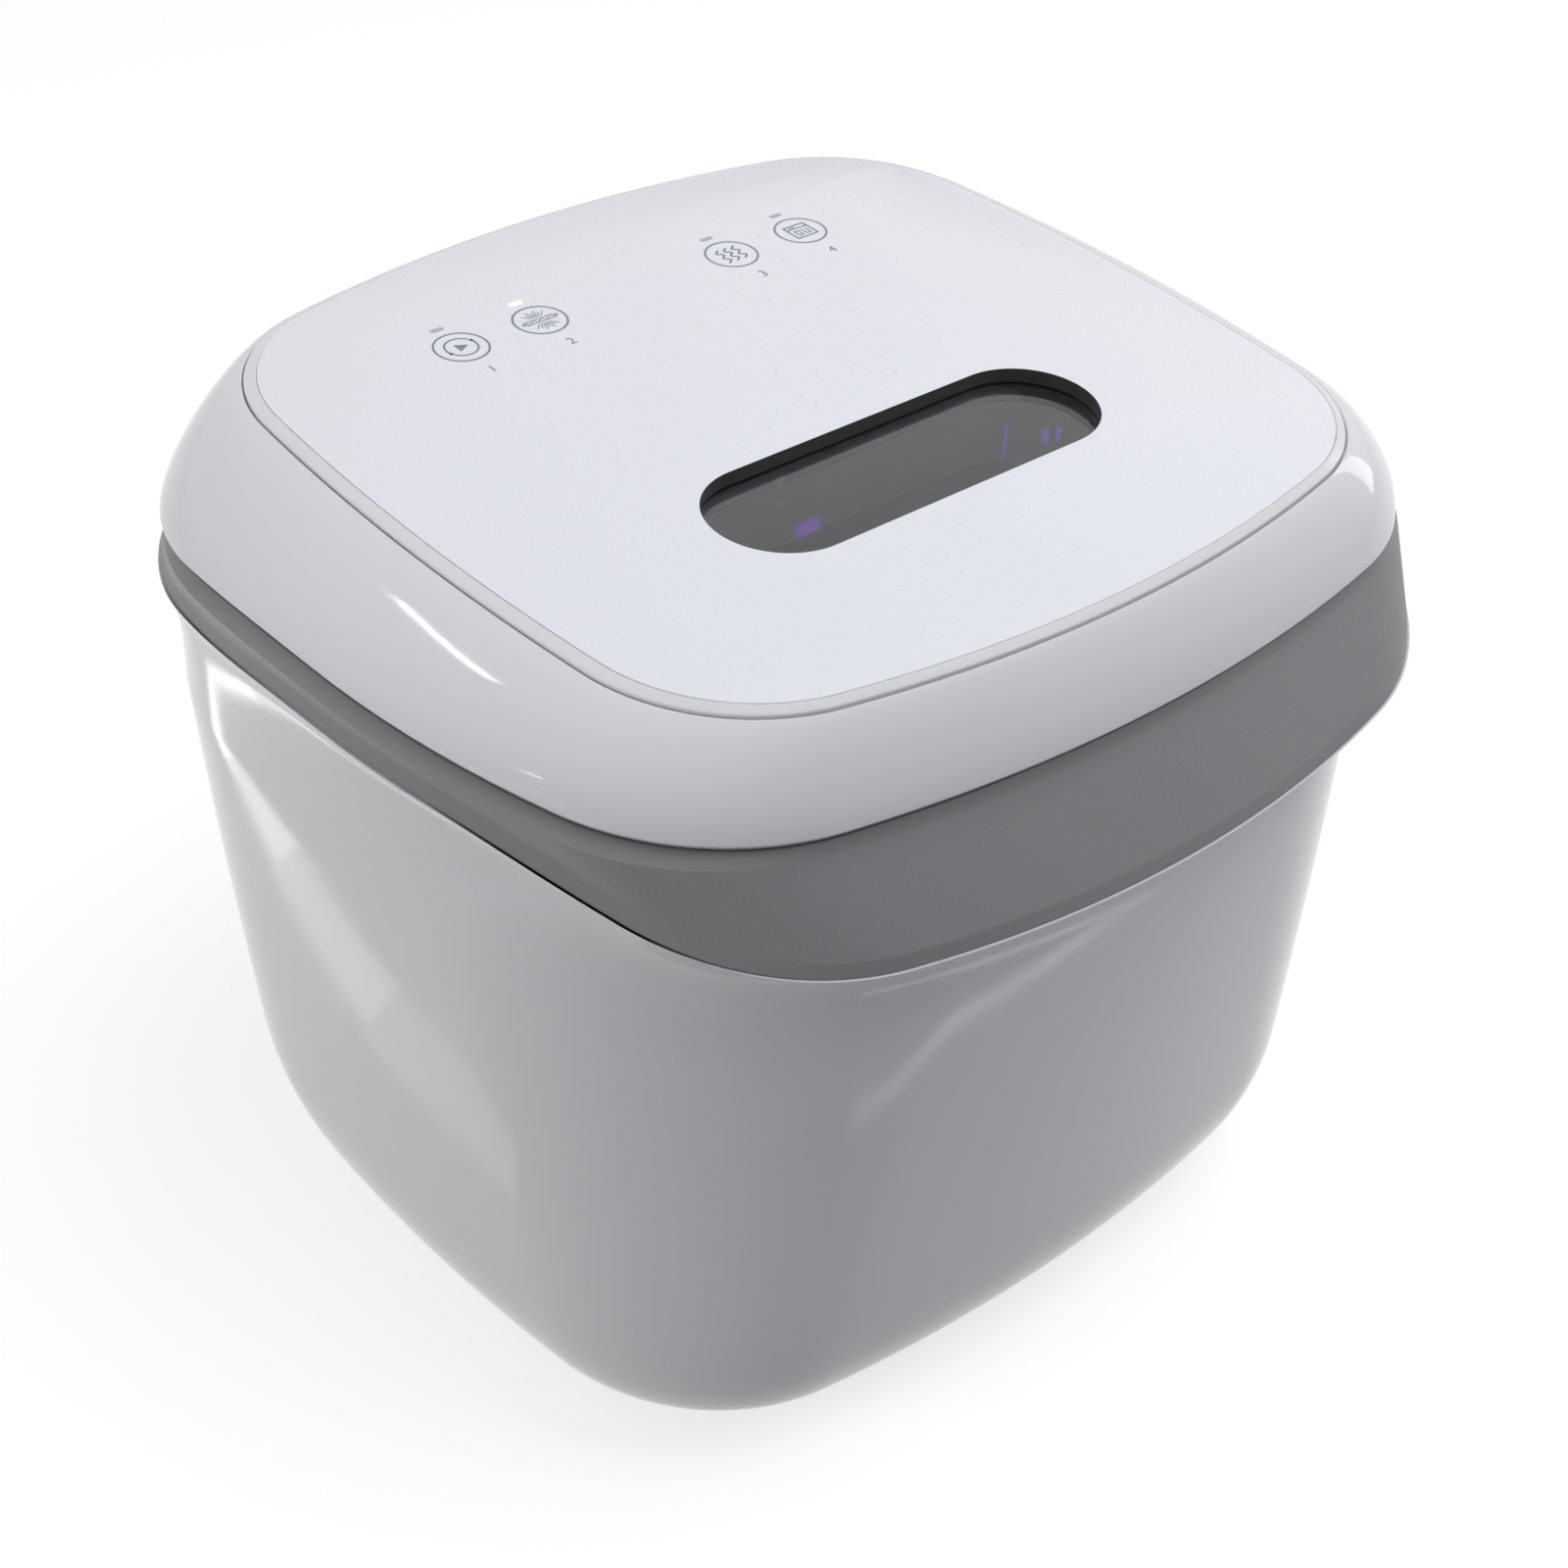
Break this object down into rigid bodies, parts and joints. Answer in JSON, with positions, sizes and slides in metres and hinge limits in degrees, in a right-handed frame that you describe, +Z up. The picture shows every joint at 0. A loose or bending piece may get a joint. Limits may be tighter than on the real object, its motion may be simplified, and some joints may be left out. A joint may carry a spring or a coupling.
{
  "type": "ultraviolet sanitizing and drying box",
  "caption": "Tapered white box with a grey drooping collar, a hinged lid with touch keys and a window slot, a wire rack, lamps and a drying fan inside.",
  "frame": {"origin": "on the floor under the middle of the footprint, at the rest face of the rubber feet", "axes": "+Z up, -Y is the front with the drooping lip, +X to the right seen from the front"},
  "size_m": [0.3062, 0.291, 0.247],
  "materials": {
    "case_white": "gloss",
    "lid_white": "gloss",
    "panel_white": "satin",
    "trim_grey": "satin",
    "collar_grey": "fine texture",
    "print_grey": "matte",
    "lens_grey": "clear",
    "lens_lit": "glowing",
    "tub_steel": "bright",
    "wire_steel": "polished",
    "plate_steel": "satin",
    "screw_steel": "bright",
    "chassis_grey": "matte",
    "duct_grey": "matte",
    "black_plastic": "matte",
    "socket_white": "matte",
    "lamp_glass": "clear",
    "cover_glass": "clear",
    "pane_glass": "tinted",
    "cap_metal": "satin",
    "heater_metal": "fins",
    "board_green": "satin",
    "parts_mixed": "mixed",
    "filter_foam": "pleated",
    "rubber_grey": "matte",
    "seal_rubber": "matte",
    "pad_metal": "plated",
    "magnet_metal": "plated",
    "liner_white": "satin",
    "shaft_grey": "satin",
    "foot_white": "matte"
  },
  "bodies": {
    "case": {"outer_shell": "case_white", "collar": "collar_grey", "inner_tub": "tub_steel", "chassis": "chassis_grey", "base_cover": "chassis_grey", "rubber_feet": "rubber_grey", "base_screws": "screw_steel", "lamp_trough": "plate_steel", "lower_lamp_tube": "lamp_glass", "lower_lamp_caps": "cap_metal", "lower_lamp_sockets": "socket_white", "lamp_cover_glass": "cover_glass", "air_duct": "duct_grey", "heater": "heater_metal", "fan_frame": "black_plastic", "fan_motor": "black_plastic", "fan_screws": "screw_steel", "exhaust_grille": "case_white", "exhaust_duct": "duct_grey", "power_board": "board_green", "board_components": "parts_mixed", "lamp_ballast": "board_green", "power_inlet": "black_plastic", "inlet_pins": "pad_metal", "hinge_brackets": "plate_steel", "hinge_pins": "screw_steel", "hinge_screws": "screw_steel", "lid_sensor": "black_plastic"},
    "fan": {"fan_impeller": "black_plastic"},
    "filter": {"filter_cover": "case_white", "air_filter": "filter_foam"},
    "rack": {"wire_rack": "wire_steel", "rack_feet": "foot_white"},
    "lid": {"lid_shell": "lid_white", "trim_ring": "trim_grey", "control_panel": "panel_white", "key_rings": "print_grey", "key_symbols": "print_grey", "indicator_lenses": "lens_grey", "lit_indicator": "lens_lit", "window_pane": "pane_glass", "window_shaft": "shaft_grey", "lid_liner": "liner_white", "lid_seal": "seal_rubber", "touch_board": "board_green", "touch_pads": "pad_metal", "lid_magnet": "magnet_metal", "lid_screws": "screw_steel", "hinge_arms": "liner_white", "lid_lamp_tube": "lamp_glass", "lid_lamp_caps": "cap_metal", "lid_lamp_sockets": "socket_white", "lid_lamp_guard": "wire_steel"}
  },
  "joints": [
    {"name": "lid_hinge", "type": "hinge", "parent": "case", "child": "lid", "pos_m": [0, 0.136, 0.205], "axis": [-1, 0, 0], "range_deg": [0, 95]},
    {"name": "fan_spin", "type": "hinge", "parent": "case", "child": "fan", "pos_m": [0, 0.105, 0.12], "axis": [0, 1, 0], "continuous": true},
    {"name": "rack_lift", "type": "slide", "parent": "case", "child": "rack", "axis": [0, 0, 1], "range_m": [0, 0.1]},
    {"name": "filter_slide", "type": "slide", "parent": "case", "child": "filter", "axis": [0, 1, 0], "range_m": [0, 0.05]}
  ]
}
